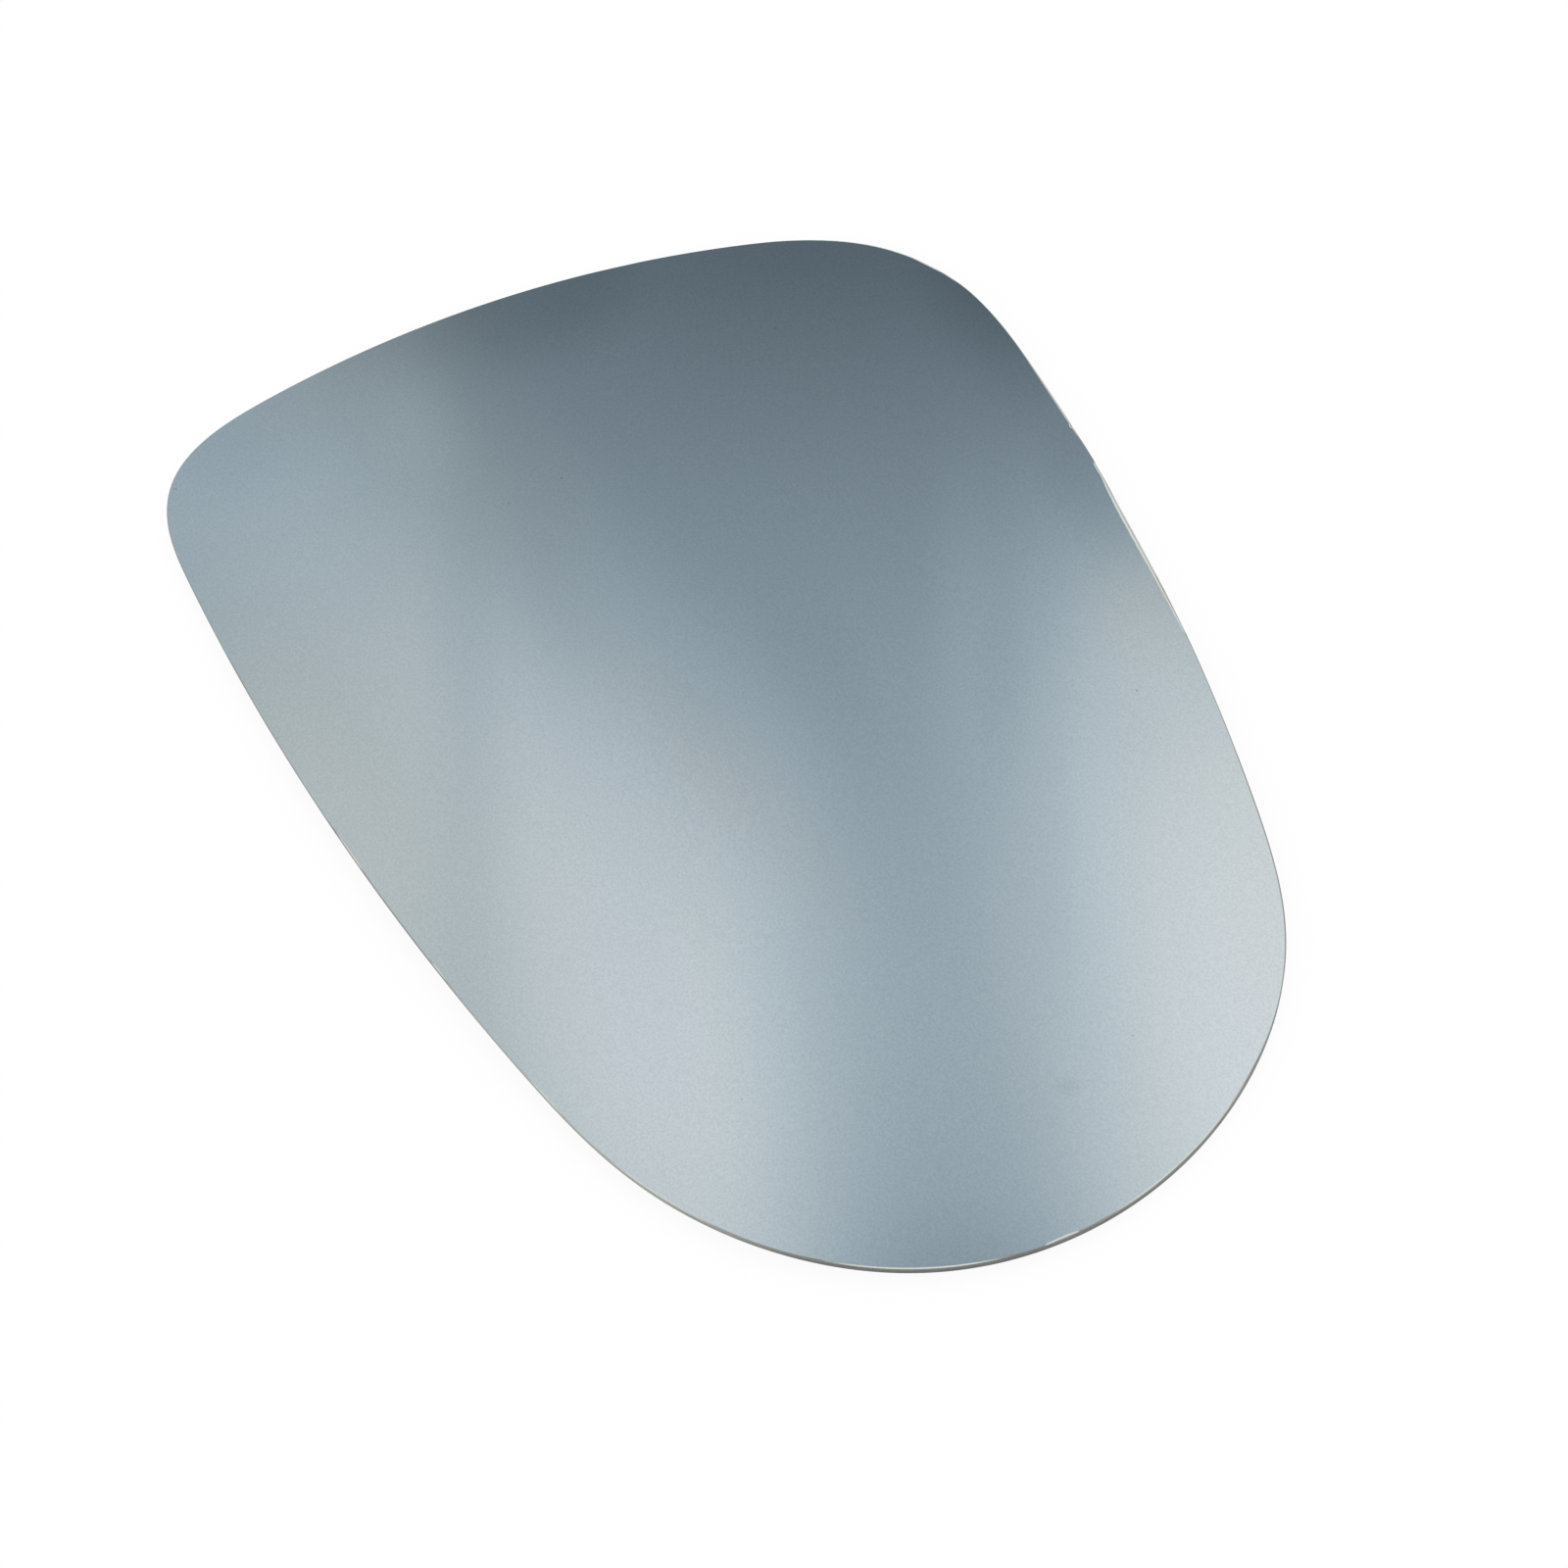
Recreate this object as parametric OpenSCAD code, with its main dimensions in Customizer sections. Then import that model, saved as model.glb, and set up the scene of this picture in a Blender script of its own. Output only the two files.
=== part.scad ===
// Convex glass of a car's door mirror: one bent sheet with a ground, seamed edge.
// It lies on its rim with the mirror face up, +X to the round end and +Y to the upper edge.
// Sizes in millimetres.

/* [Sheet] */
// Length over the outline, from the tall end to the round end
glass_length = 174.5; // [150:0.5:190]
// Height over the outline, from the lower edge to the upper edge
glass_height = 122.3; // [110:0.1:140]
// Thickness of the sheet
glass_thickness = 2; // [1.6:0.1:4]
// Radius the mirror face is bent to
face_radius = 1260; // [800:10:2400]

/* [Ground edge] */
// Width of the arris ground along the mirror face
front_arris = 0.3; // [0.1:0.05:0.8]
// Width of the arris ground along the back
back_arris = 0.45; // [0.1:0.05:0.7]

/* [Upper and lower edges] */
// Radius of the bow of the upper edge
upper_bow = 336; // [280:2:500]
// Where along X the upper edge is highest
upper_crest = -27; // [-35:1:0]
// Radius of the bow of the lower edge
lower_bow = 411; // [300:1:600]
// Where along X the lower edge is lowest
lower_crest = -60; // [-65:1:-30]

/* [Tall end] */
// Radius of the bow of the tall end
tall_bow = 171; // [110:1:260]
// Where along Y the tall end reaches furthest
tall_crest = -32; // [-40:0.5:-15]
// Radius of the corner between the upper edge and the tall end
upper_corner = 31.5; // [15:0.5:50]
// Radius of the corner between the tall end and the lower edge
lower_corner = 13; // [6:0.5:30]

/* [Round end] */
// Radius of the bow at the tip, as a share of the height
tip_share = 0.412; // [0.3:0.001:0.44]
// Where along Y the tip reaches furthest
tip_crest = 5.7; // [-5:0.1:8]
// How far the bow of the tip turns towards the lower edge, in degrees
tip_below = 36; // [10:1:50]
// How far the bow of the tip turns towards the upper edge, in degrees
tip_above = 42; // [10:1:55]
// Length along the edge over which one bow eases into the next
easing = 20; // [10:1:36]

/* [Hidden] */
$fn = 500;

// How many points on either side of a point have a share in it, and how far apart they lie
reach = 7;
pitch = easing / (2 * reach + 1);
// How far the form of the edge stands past both faces before it is cut to them
past_face = 1;

function heading(angle) = [cos(angle), sin(angle)];
function bearing(v) = atan2(v[1], v[0]);
function unit(v) = v / norm(v);
function leftward(v) = [-v[1], v[0]];

// The outline is a chain of arcs. Each is a circle, written as [centre, radius].
function centre(circle) = circle[0];
function radius(circle) = circle[1];

// The four bows touch the sides of the box that length and height make.
upper_edge = [[upper_crest, glass_height / 2 - upper_bow], upper_bow];
tall_end = [[tall_bow - glass_length / 2, tall_crest], tall_bow];
lower_edge = [[lower_crest, lower_bow - glass_height / 2], lower_bow];
tip_bow = tip_share * glass_height;
tip = [[glass_length / 2 - tip_bow, tip_crest], tip_bow];

// A corner of stated radius lies inside the two bows, going counterclockwise, and touches both.
function corner(from, to, round) = let(
    apart = centre(to) - centre(from),
    a = radius(from) - round,
    b = radius(to) - round,
    along = (apart * apart + a * a - b * b) / (2 * norm(apart)),
    aside = sqrt(a * a - along * along)
) [centre(from) + along * unit(apart) + aside * leftward(unit(apart)), round];

// A shoulder leaves the tip at a heading and runs into a long edge. Its radius follows.
function shoulder(edge, angle) = let(
    start = centre(tip) + radius(tip) * heading(angle),
    away = centre(edge) - start,
    round = (radius(edge) * radius(edge) - away * away) / (2 * (radius(edge) + away * heading(angle)))
) [start - round * heading(angle), round];

tall_upper = corner(upper_edge, tall_end, upper_corner);
tall_lower = corner(tall_end, lower_edge, lower_corner);
round_lower = shoulder(lower_edge, -tip_below);
round_upper = shoulder(upper_edge, tip_above);

// The heading at which a smaller circle touches a bow from inside
function touch(bow, small) = bearing(centre(small) - centre(bow));

// Each arc of the outline with the headings between which it runs, counterclockwise
arcs = [
    [upper_edge, touch(upper_edge, round_upper), touch(upper_edge, tall_upper)],
    [tall_upper, touch(upper_edge, tall_upper), touch(tall_end, tall_upper)],
    [tall_end, touch(tall_end, tall_upper), touch(tall_end, tall_lower)],
    [tall_lower, touch(tall_end, tall_lower), touch(lower_edge, tall_lower)],
    [lower_edge, touch(lower_edge, tall_lower), touch(lower_edge, round_lower)],
    [round_lower, touch(lower_edge, round_lower), -tip_below],
    [tip, -tip_below, tip_above],
    [round_upper, tip_above, touch(upper_edge, round_upper)]
];

// Points along one arc, about a pitch apart
function walk(arc) = let(
    bow = arc[0],
    turn = (arc[2] - arc[1] + 720) % 360,
    steps = max(1, round(turn * PI / 180 * radius(bow) / pitch))
) [for (i = [0 : steps - 1]) centre(bow) + radius(bow) * heading(arc[1] + turn * i / steps)];

chain = [for (arc = arcs) each walk(arc)];
count = len(chain);
function wrap(i) = (i + count) % count;

// Each point is moved to the mean of its neighbours, so the bend along the edge never jumps.
eased = [for (i = [0 : count - 1])
    let(near = [for (k = [-reach : reach]) chain[wrap(i + k)]])
    [for (p = near) 1] * near / len(near)];

// The eased outline is a little smaller, so it is drawn out to its length and height again.
outline = let(
    x = [for (p = eased) p[0]],
    y = [for (p = eased) p[1]],
    middle = [max(x) + min(x), max(y) + min(y)] / 2,
    draw = [glass_length / (max(x) - min(x)), glass_height / (max(y) - min(y))]
) [for (p = eased) [(p[0] - middle[0]) * draw[0], (p[1] - middle[1]) * draw[1]]];

// One line round the sheet: depth is measured square to the mirror face, inset along it.
function face_height(at) = sqrt(face_radius * face_radius - at * at);
function line_point(i, depth, inset) = let(
    at = outline[i],
    along = unit(outline[wrap(i + 1)] - outline[wrap(i - 1)]),
    square = [at[0], at[1], face_height(at)] / face_radius,
    flat = [-along[1], along[0], 0],
    inward = unit(flat - (flat * square) * square)
) (face_radius - depth) * square + inset * inward - [0, 0, face_radius];
function edge_line(depth, inset) = [for (i = [0 : count - 1]) line_point(i, depth, inset)];

// How far the rim of the back hangs below the middle of the mirror face
rim_drop = -min([for (p = edge_line(glass_thickness, back_arris)) p[2]]);

// The edge swept round the outline: front arris, square land, back arris.
module edge_sweep() {
    rows = [
        edge_line(-past_face, front_arris + past_face),
        edge_line(front_arris, 0),
        edge_line(glass_thickness - back_arris, 0),
        edge_line(glass_thickness + past_face, back_arris + past_face)
    ];
    above = [0, 0, rim_drop];
    below = [0, 0, -rim_drop - past_face];
    points = concat([above], rows[0], rows[1], rows[2], rows[3], [below]);
    function at(row, i) = 1 + row * count + i % count;
    lid = [for (i = [0 : count - 1]) [0, at(0, i + 1), at(0, i)]];
    land = [for (i = [0 : count - 1]) [at(1, i), at(1, i + 1), at(2, i + 1), at(2, i)]];
    arrises = [for (row = [0, 2], i = [0 : count - 1])
        each [[at(row, i), at(row, i + 1), at(row + 1, i + 1)],
            [at(row, i), at(row + 1, i + 1), at(row + 1, i)]]];
    floor = [for (i = [0 : count - 1]) [4 * count + 1, at(3, i), at(3, i + 1)]];
    polyhedron(points, concat(lid, arrises, land, floor));
}

// The bent sheet before it is cut out: the space between two balls of one centre
module bent_sheet() {
    translate([0, 0, -face_radius])
        rotate([90, 0, 0])
            difference() {
                sphere(face_radius);
                sphere(face_radius - glass_thickness);
            }
}

module mirror_glass() {
    color("#8fa2ac")
        translate([0, 0, rim_drop])
            intersection() {
                bent_sheet();
                edge_sweep();
            }
}

mirror_glass();
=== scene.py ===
# %% [markdown]
# # The glass of a car's door mirror
#
# A single bent sheet of glass, 2 mm thick, with a chromed face and an edge that was ground by
# hand on a belt. Everything the eye gets from it comes from three things: a face that is part of
# a very large sphere, a thin pale rim where the belt has been, and what stands above the bench
# for the face to reflect. The cells below make them in that order.

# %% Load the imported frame
import math

import bmesh
import bpy
import numpy as np
from mathutils import Matrix, Vector


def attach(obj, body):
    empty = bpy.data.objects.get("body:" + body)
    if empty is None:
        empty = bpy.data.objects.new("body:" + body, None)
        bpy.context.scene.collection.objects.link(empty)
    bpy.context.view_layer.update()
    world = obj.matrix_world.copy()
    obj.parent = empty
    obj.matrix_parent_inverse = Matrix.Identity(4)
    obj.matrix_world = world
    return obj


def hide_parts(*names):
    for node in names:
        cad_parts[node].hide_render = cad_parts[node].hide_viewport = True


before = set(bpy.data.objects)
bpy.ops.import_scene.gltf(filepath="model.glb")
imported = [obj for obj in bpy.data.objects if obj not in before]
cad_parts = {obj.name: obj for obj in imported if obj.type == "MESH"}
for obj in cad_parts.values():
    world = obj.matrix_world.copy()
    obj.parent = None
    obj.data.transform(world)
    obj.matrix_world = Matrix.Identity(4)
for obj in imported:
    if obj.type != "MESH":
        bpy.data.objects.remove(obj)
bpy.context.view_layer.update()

MM = 0.001
print("nodes in the frame:", sorted(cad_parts))

# %% [markdown]
# ## Sizes
#
# The sizes are those of the solid, so that the fine mesh made here lies where the solid lies.
# The outline is a chain of eight arcs. A bow of large radius runs along each side, and the
# corners between them are smaller circles that touch their neighbours from inside. Over a
# length of 20 mm each arc is eased into the next.

# %% Sizes of the sheet, in millimetres
LENGTH, HEIGHT, THICKNESS = 174.5, 122.3, 2.0
FACE_RADIUS = 1260.0
BACK_ARRIS = 0.45
UPPER_BOW, UPPER_CREST = 336.0, -27.0
LOWER_BOW, LOWER_CREST = 411.0, -60.0
TALL_BOW, TALL_CREST = 171.0, -32.0
UPPER_CORNER, LOWER_CORNER = 31.5, 13.0
TIP_SHARE = 0.412  # radius of the bow at the tip, as a share of the height
TIP_BOW, TIP_CREST = TIP_SHARE * HEIGHT, 5.7
TIP_BELOW, TIP_ABOVE = 36.0, 42.0
EASING = 20.0
print(f"sheet of {LENGTH} x {HEIGHT} x {THICKNESS} mm, bent to a radius of {FACE_RADIUS} mm")

# %% [markdown]
# ## The outline
#
# A spline could be drawn over the photo, but its curvature would waver, and a mirror's edge
# shows every waver. Arcs that meet where their circles touch have the same direction on both
# sides of a joint. Their bend still jumps there, and the eye finds that too. So each point is
# moved to the mean of its neighbours, which lets the bend grow evenly from one arc to the next.

# %% Circles of the outline
def heading(degrees):
    return Vector((math.cos(math.radians(degrees)), math.sin(math.radians(degrees))))


def bearing(vector):
    return math.degrees(math.atan2(vector.y, vector.x))


def corner(first, second, radius):
    """A circle of that radius inside two bows, touching both, going counterclockwise."""
    (centre_1, bow_1), (centre_2, bow_2) = first, second
    apart = centre_2 - centre_1
    reach_1, reach_2 = bow_1 - radius, bow_2 - radius
    along = (apart.length_squared + reach_1 ** 2 - reach_2 ** 2) / (2 * apart.length)
    aside = math.sqrt(reach_1 ** 2 - along ** 2)
    ahead = apart.normalized()
    return centre_1 + along * ahead + aside * Vector((-ahead.y, ahead.x)), radius


def shoulder(tip, edge, degrees):
    """The circle that leaves the tip at a heading and runs into a long edge."""
    start = tip[0] + tip[1] * heading(degrees)
    away = edge[0] - start
    radius = (edge[1] ** 2 - away.length_squared) / (2 * (edge[1] + away.dot(heading(degrees))))
    return start - radius * heading(degrees), radius


upper = (Vector((UPPER_CREST, HEIGHT / 2 - UPPER_BOW)), UPPER_BOW)
tall = (Vector((TALL_BOW - LENGTH / 2, TALL_CREST)), TALL_BOW)
lower = (Vector((LOWER_CREST, LOWER_BOW - HEIGHT / 2)), LOWER_BOW)
tip = (Vector((LENGTH / 2 - TIP_BOW, TIP_CREST)), TIP_BOW)
tall_upper = corner(upper, tall, UPPER_CORNER)
tall_lower = corner(tall, lower, LOWER_CORNER)
round_lower = shoulder(tip, lower, -TIP_BELOW)
round_upper = shoulder(tip, upper, TIP_ABOVE)
print("radii of the shoulders in mm:", round(round_lower[1], 1), round(round_upper[1], 1))

# %% Points along the chain of arcs
POINT_PITCH = 0.25  # mm


def touch(bow, small):
    """The heading at which a smaller circle touches a bow from inside."""
    return bearing(small[0] - bow[0])


def walk(circle, start, end):
    """Points along one arc, about a pitch apart."""
    centre, radius = circle
    turn = (end - start) % 360
    steps = math.ceil(math.radians(turn) * radius / POINT_PITCH)
    return [centre + radius * heading(start + turn * i / steps) for i in range(steps)]


ARCS = [
    (upper, touch(upper, round_upper), touch(upper, tall_upper)),
    (tall_upper, touch(upper, tall_upper), touch(tall, tall_upper)),
    (tall, touch(tall, tall_upper), touch(tall, tall_lower)),
    (tall_lower, touch(tall, tall_lower), touch(lower, tall_lower)),
    (lower, touch(lower, tall_lower), touch(lower, round_lower)),
    (round_lower, touch(lower, round_lower), -TIP_BELOW),
    (tip, -TIP_BELOW, TIP_ABOVE),
    (round_upper, TIP_ABOVE, touch(upper, round_upper)),
]
chain = np.array([point for arc in ARCS for point in walk(*arc)])
print(len(chain), "points on", len(ARCS), "arcs")

# %% Ease the arcs into one another
def eased(points):
    """Each point moved to the mean of those within half the easing on either side."""
    reach = round(EASING / POINT_PITCH / 2)
    window = np.full(2 * reach + 1, 1 / (2 * reach + 1))
    round_again = np.vstack([points[-reach:], points, points[:reach]])
    return np.column_stack([np.convolve(round_again[:, axis], window, "valid") for axis in (0, 1)])


mean = eased(chain)
low, high = mean.min(axis=0), mean.max(axis=0)
outline = (mean - (low + high) / 2) * (LENGTH, HEIGHT) / (high - low)
gaps = np.linalg.norm(np.roll(outline, -1, axis=0) - outline, axis=1)
distances = np.concatenate([[0.0], np.cumsum(gaps)[:-1]])
perimeter = gaps.sum()
print(round(perimeter, 1), "mm round the edge")

# %% [markdown]
# ## The hand of the grinder
#
# The sharp rim of cut glass is taken off on a wet belt. Done by hand, the sheet is rocked
# along the belt in strokes, and each stroke leaves a flat that is widest where the pressure was
# greatest. So the arris isn't an even line but a row of long lenses, with a short blunt end
# where the sheet was lifted and a chip or two where it was set down. Each stroke is written as
# where it lies along the edge, how wide it gets and where its widest place is.

# %% Strokes of the belt along the front rim
LEAST_ARRIS = 0.13  # mm, where no stroke went
FULLNESS = 0.8  # the power of a sine that a stroke follows: below 1 it is fuller at its ends
# start, end, greatest width (all mm), place of the greatest width as a share of the stroke
STROKES = [
    (35.0, 68.8, 0.83, 0.68),
    (56.0, 69.0, 0.38, 0.96),
    (69.6, 98.0, 0.3, 0.3),
    (75.3, 76.6, 0.5, 0.5),
    (103.0, 142.0, 0.36, 0.3),
    (108.0, 118.0, 0.44, 0.5),
    (152.0, 170.0, 0.16, 0.5),
    (205.0, 240.0, 0.16, 0.6),
    (266.0, 284.0, 0.18, 0.4),
    (300.0, 315.5, 0.28, 0.6),
    (328.5, 335.5, 0.28, 0.4),
    (347.0, 363.0, 0.26, 0.6),
    (362.0, 399.0, 0.27, 0.35),
    (392.0, 434.0, 0.3, 0.5),
    (428.9, 435.8, 0.4, 0.6),
    (430.0, 480.0, 0.29, 0.4),
    (462.0, 538.0, 0.2, 0.5),
]


def stroke_width(at, start, end, width, widest):
    """Rises in a smooth curve to the widest place and falls away after it.

    A stroke that ends past the whole perimeter runs on over the place where the count starts.
    """
    share = (at - start) % perimeter / (end - start)
    if not 0 < share < 1:
        return 0.0
    rise = share / widest if share < widest else (1 - share) / (1 - widest)
    return width * math.sin(rise * math.pi / 2) ** FULLNESS


arris = [max([LEAST_ARRIS] + [stroke_width(at, *stroke) for stroke in STROKES])
         for at in distances]
print("arris from", min(arris), "to", round(max(arris), 2), "mm,", len(STROKES), "strokes")

# %% The outline as a curve that carries the width of the arris
def outline_curve():
    curve = bpy.data.curves.new("glass_outline", "CURVE")
    curve.dimensions = "3D"
    spline = curve.splines.new("POLY")
    spline.points.add(len(outline) - 1)
    for point, (x, y), width in zip(spline.points, outline, arris):
        point.co = (x * MM, y * MM, 0.0, 1.0)
        point.radius = width * MM
    spline.use_cyclic_u = True
    return curve


glass = bpy.data.objects.new("mirror_glass_sheet", outline_curve())
bpy.context.scene.collection.objects.link(glass)
print("curve with", len(glass.data.splines[0].points), "points")

# %% [markdown]
# ## One helper for every node
#
# Both the mesh and the finishes are node trees. This helper adds a node, sets its properties,
# and fills each input with a value or with a link. A node can be given where a link is wanted:
# then its first output is used, which for most nodes is the one that matters. A Mix or a Compare
# node has several inputs of one name, so theirs go by number: where a Mix blends two colours,
# input 0 is the share and inputs 6 and 7 are the colours.

# %% Add a node
def add(tree, kind, sockets=None, **settings):
    """A node with its settings made and its inputs filled."""
    new = tree.nodes.new(kind)
    for name, value in settings.items():
        setattr(new, name, value)
    for name, value in (sockets or {}).items():
        if isinstance(value, bpy.types.Node):
            value = next(output for output in value.outputs if output.enabled)
        if isinstance(value, bpy.types.NodeSocket):
            tree.links.new(value, new.inputs[name])
        else:
            new.inputs[name].default_value = value
    return new


def srgb(code, alpha=1.0):
    """An sRGB hex value as the linear colour that Blender wants."""
    parts = [int(code[i:i + 2], 16) / 255 for i in (1, 3, 5)]
    return (*[p / 12.92 if p <= 0.04045 else ((p + 0.055) / 1.055) ** 2.4 for p in parts], alpha)


print("middle grey #808080 is", round(srgb("#808080")[0], 3), "in linear light")

# %% [markdown]
# ## Finishes
#
# ### Chromed face
#
# Convex door mirrors are coated with chromium, sputtered in a vacuum on the bent glass. Chromium
# gives back about two thirds of the light and a little more of the blue, so the face looks
# like cool grey metal and not like a silvered bathroom mirror. The coat copies the glass under
# it, which is fire polished and very smooth. What breaks the perfect mirror is a slight
# unevenness of the coat over some centimetres, a fine grain, the haze a cloth leaves in long
# streaks, two faint marks that it missed, and a few specks of dust. The real grain is much too
# fine to see. It is drawn at a third of a millimetre, so that it shows at all.
#
# Every finish here is built up in the same way: a cloudy noise says how far one colour has gone
# over into the next. Three helpers make the shapes that come back: the cloud, a soft oval, and
# the same oval as a stain with its sizes in millimetres.

# %% Shapes that the finishes share
# Most of a noise's values lie between these two, so they are where a colour starts and ends.
NOISE_LOW, NOISE_HIGH = 0.3, 0.7


def new_finish(name, look):
    """A material with an empty tree, and the place on the piece that its patterns read."""
    material = bpy.data.materials.new(name)
    material.use_nodes = True
    material.diffuse_color = srgb(look)
    tree = material.node_tree
    tree.nodes.clear()
    return material, tree, add(tree, "ShaderNodeTexCoord").outputs["Object"]


def pattern(tree, place, size_mm, low, high, detail=2.0, stretch=(1, 1, 1),
            noise_range=(NOISE_LOW, NOISE_HIGH)):
    """A cloudy pattern with lumps of that size, whose values run from low to high."""
    scaled = add(tree, "ShaderNodeMapping", {"Vector": place, "Scale": stretch})
    cloud = add(tree, "ShaderNodeTexNoise", {
        "Vector": scaled, "Scale": 1 / (size_mm * MM), "Detail": detail})
    return add(tree, "ShaderNodeMapRange", {
        "Value": cloud.outputs["Fac"], "From Min": noise_range[0], "From Max": noise_range[1],
        "To Min": low, "To Max": high})


def soft_oval(tree, place, middle, half, turn, solid, inner, outer=0.0):
    """The inner value within the solid share of an oval, running out softly to its edge."""
    local = add(tree, "ShaderNodeMapping", {
        "Vector": place, "Location": middle, "Rotation": (0.0, 0.0, math.radians(turn)),
        "Scale": (*half, 1.0)}, vector_type="TEXTURE")
    away = add(tree, "ShaderNodeVectorMath", {0: local}, operation="LENGTH")
    return add(tree, "ShaderNodeMapRange", {
        "Value": away.outputs["Value"], "From Min": solid, "From Max": 1.0, "To Min": inner,
        "To Max": outer}, interpolation_type="SMOOTHSTEP")


def stain(tree, place, middle, half, turn, solid, strength):
    """A soft oval on the glass, with its sizes in millimetres."""
    return soft_oval(tree, place, (middle[0] * MM, middle[1] * MM, 0.0),
                     (half[0] * MM, half[1] * MM), turn, solid, strength)


def close_finish(tree, shader):
    """Links the shader to the output, and counts the nodes that the finish took."""
    add(tree, "ShaderNodeOutputMaterial", {"Surface": shader})
    return len(tree.nodes)


print("a cloud runs from", NOISE_LOW, "to", NOISE_HIGH, "of the noise")

# %% Chromed face
# Sizes of the patterns, in mm: the unevenness of the coat, its grain, the streaks of the cloth,
# and the patches where dust has settled
COAT_DRIFT, COAT_GRAIN, CLOTH_STREAK, DUST_PATCH = 38, 0.33, 14, 21
ALONG_THE_SHEET = (0.25, 1, 1)  # the streaks are four times as long as they are wide
DUSTY = (0.52, 0.54)  # the part of the noise where a patch begins
# Marks that the cloth missed: middle, half length and half width (mm), turn (degrees), the
# share of it that is even, strength
MARKS = [
    ((12.0, 32.5), (20.0, 6.0), -28, 0.1, 0.06),
    ((69.2, 11.4), (2.6, 1.8), 61, 0.1, 0.1),
]
# Specks of dust: the mean distance between them, their solid part and their radius, all in mm
DUST_PITCH, DUST_SOLID, DUST_RADIUS = 6.0, 0.14, 0.23


def chromed_face():
    material, tree, place = new_finish("chromium_sputtered_on_float_glass", "#cdd6dc")
    tint = add(tree, "ShaderNodeMix", {
        0: pattern(tree, place, COAT_DRIFT, 0.0, 1.0), 6: srgb("#cfd8df"), 7: srgb("#d1dadf")},
        data_type="RGBA")
    tint = add(tree, "ShaderNodeMix", {
        0: pattern(tree, place, COAT_GRAIN, 0.0, 1.0, detail=1.0), 6: tint, 7: srgb("#c5ced5")},
        data_type="RGBA")
    for mark in MARKS:
        tint = add(tree, "ShaderNodeMix", {
            0: stain(tree, place, *mark), 6: tint, 7: srgb("#6d767c")}, data_type="RGBA")
    specks = add(tree, "ShaderNodeTexVoronoi", {"Vector": place, "Scale": 1 / (DUST_PITCH * MM)})
    dust = add(tree, "ShaderNodeMapRange", {
        "Value": specks.outputs["Distance"], "From Min": DUST_SOLID / DUST_PITCH,
        "From Max": DUST_RADIUS / DUST_PITCH, "To Min": 1.0, "To Max": 0.0})
    patches = pattern(tree, place, DUST_PATCH, 0.0, 1.0, noise_range=DUSTY)
    dust = add(tree, "ShaderNodeMath", {0: dust, 1: patches}, operation="MULTIPLY")
    tint = add(tree, "ShaderNodeMix", {0: dust, 6: tint, 7: srgb("#aeb7bd")}, data_type="RGBA")
    haze = pattern(tree, place, CLOTH_STREAK, 0.035, 0.075, detail=3.0, stretch=ALONG_THE_SHEET)
    shader = add(tree, "ShaderNodeBsdfPrincipled", {
        "Base Color": tint, "Metallic": 1.0, "Roughness": haze})
    print(material.name, "has", close_finish(tree, shader), "nodes")
    return material


FACE = chromed_face()

# %% [markdown]
# ### Ground arris
#
# A belt of about 400 grit leaves thousands of tiny shell-shaped breaks in the glass. They throw
# the light about, so clear greenish glass turns into a matt, pale surface. A firm stroke leaves
# a strip of pale grey to pale green along the face. Its outer part rolls over towards the land,
# where glass powder and coolant dry in: there it is dull grey, and only the firmest strokes are
# clean again at the very rim, past a thin dull line. Where the belt only just touched, the dull
# grey is all there is. So the colour has to follow the edge, and two numbers stored on the mesh
# tell it where it is: how far across the arris a place lies, from 0 at the face to 1 at the
# land, and how wide the arris is there. One helper turns both into a zone. Two soft ovals make
# the dull grey paler along the lower edge and darker beside the tip. The real pits are some
# hundredths of a millimetre: they are drawn at a seventh of a millimetre here.

# %% Ground arris
ACROSS, WIDTH = "across_arris", "arris_width"
GLASS_IOR = 1.52
# Sizes of the patterns, in mm: the change from stroke to stroke, and the pits
ARRIS_DRIFT, PIT = 11, 0.14
# Where a zone starts and is whole: as shares of the way across the arris, and by its width in mm
PALE_STRIP = ((0.54, 0.46), (0.2, 0.26))
CLEAN_RIM = ((0.62, 0.68), (0.6, 0.72))
# Stretches of the edge, written as the marks on the face are
PALER_LOWER_STRETCH = ((40.0, -48.0), (44.0, 14.0), 22, 0.3, 0.8)
DARKER_TIP_STRETCH = ((81.0, -16.0), (28.0, 10.0), 64, 0.3, 0.7)


def zone_of_arris(tree, shares, widths):
    """1 in a zone across the arris, wherever the arris is wide enough to have that zone."""
    across = add(tree, "ShaderNodeAttribute", attribute_name=ACROSS)
    width = add(tree, "ShaderNodeAttribute", attribute_name=WIDTH)
    inside = add(tree, "ShaderNodeMapRange", {
        "Value": across.outputs["Fac"], "From Min": shares[0], "From Max": shares[1]})
    firm = add(tree, "ShaderNodeMapRange", {
        "Value": width.outputs["Fac"], "From Min": widths[0] * MM, "From Max": widths[1] * MM})
    return add(tree, "ShaderNodeMath", {0: inside, 1: firm}, operation="MULTIPLY")


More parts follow.
